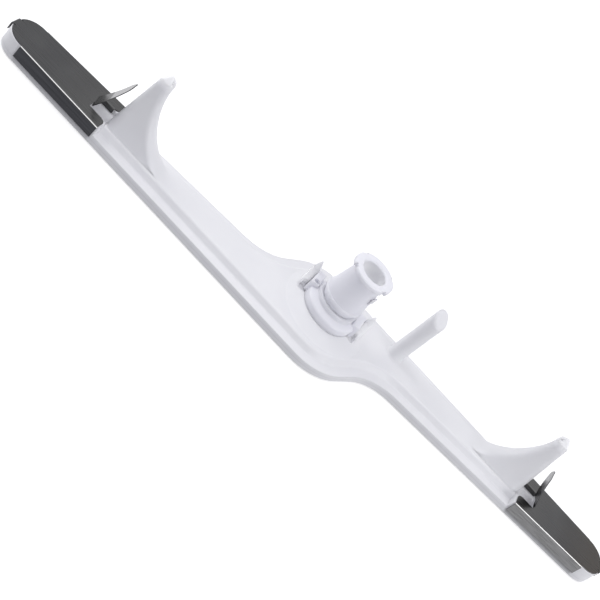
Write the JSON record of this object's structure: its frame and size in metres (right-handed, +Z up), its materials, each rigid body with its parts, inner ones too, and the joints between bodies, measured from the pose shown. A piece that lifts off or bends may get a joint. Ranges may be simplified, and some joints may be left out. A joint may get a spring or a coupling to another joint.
{
  "type": "dishwasher spray arm",
  "caption": "Long S-shaped plastic dishwasher spray arm with tall jet horns, a round jet post, folded steel end clips and a hub ring that turns on a notched feed tube.",
  "frame": {"origin": "on the hub axis, in the plane of the arm's underside", "axes": "+X along the arm towards the half with the round post, +Z up the hub axis towards the rim of the feed tube, +Y across the arm"},
  "size_m": [0.4992, 0.0896, 0.0622],
  "materials": {
    "white_plastic": "satin moulded",
    "hub_plastic": "satin moulded",
    "clip_steel": "rolled bright sheet"
  },
  "bodies": {
    "spindle": {"hub_spindle": "hub_plastic"},
    "arm": {"arm_upper_shell": "white_plastic", "arm_lower_shell": "white_plastic", "end_clip_left": "clip_steel", "end_clip_right": "clip_steel", "hub_ring": "hub_plastic"}
  },
  "joints": [
    {"name": "arm_spin", "type": "hinge", "parent": "spindle", "child": "arm", "pos_m": [0, 0, 0.018], "axis": [0, 0, 1], "continuous": true}
  ]
}
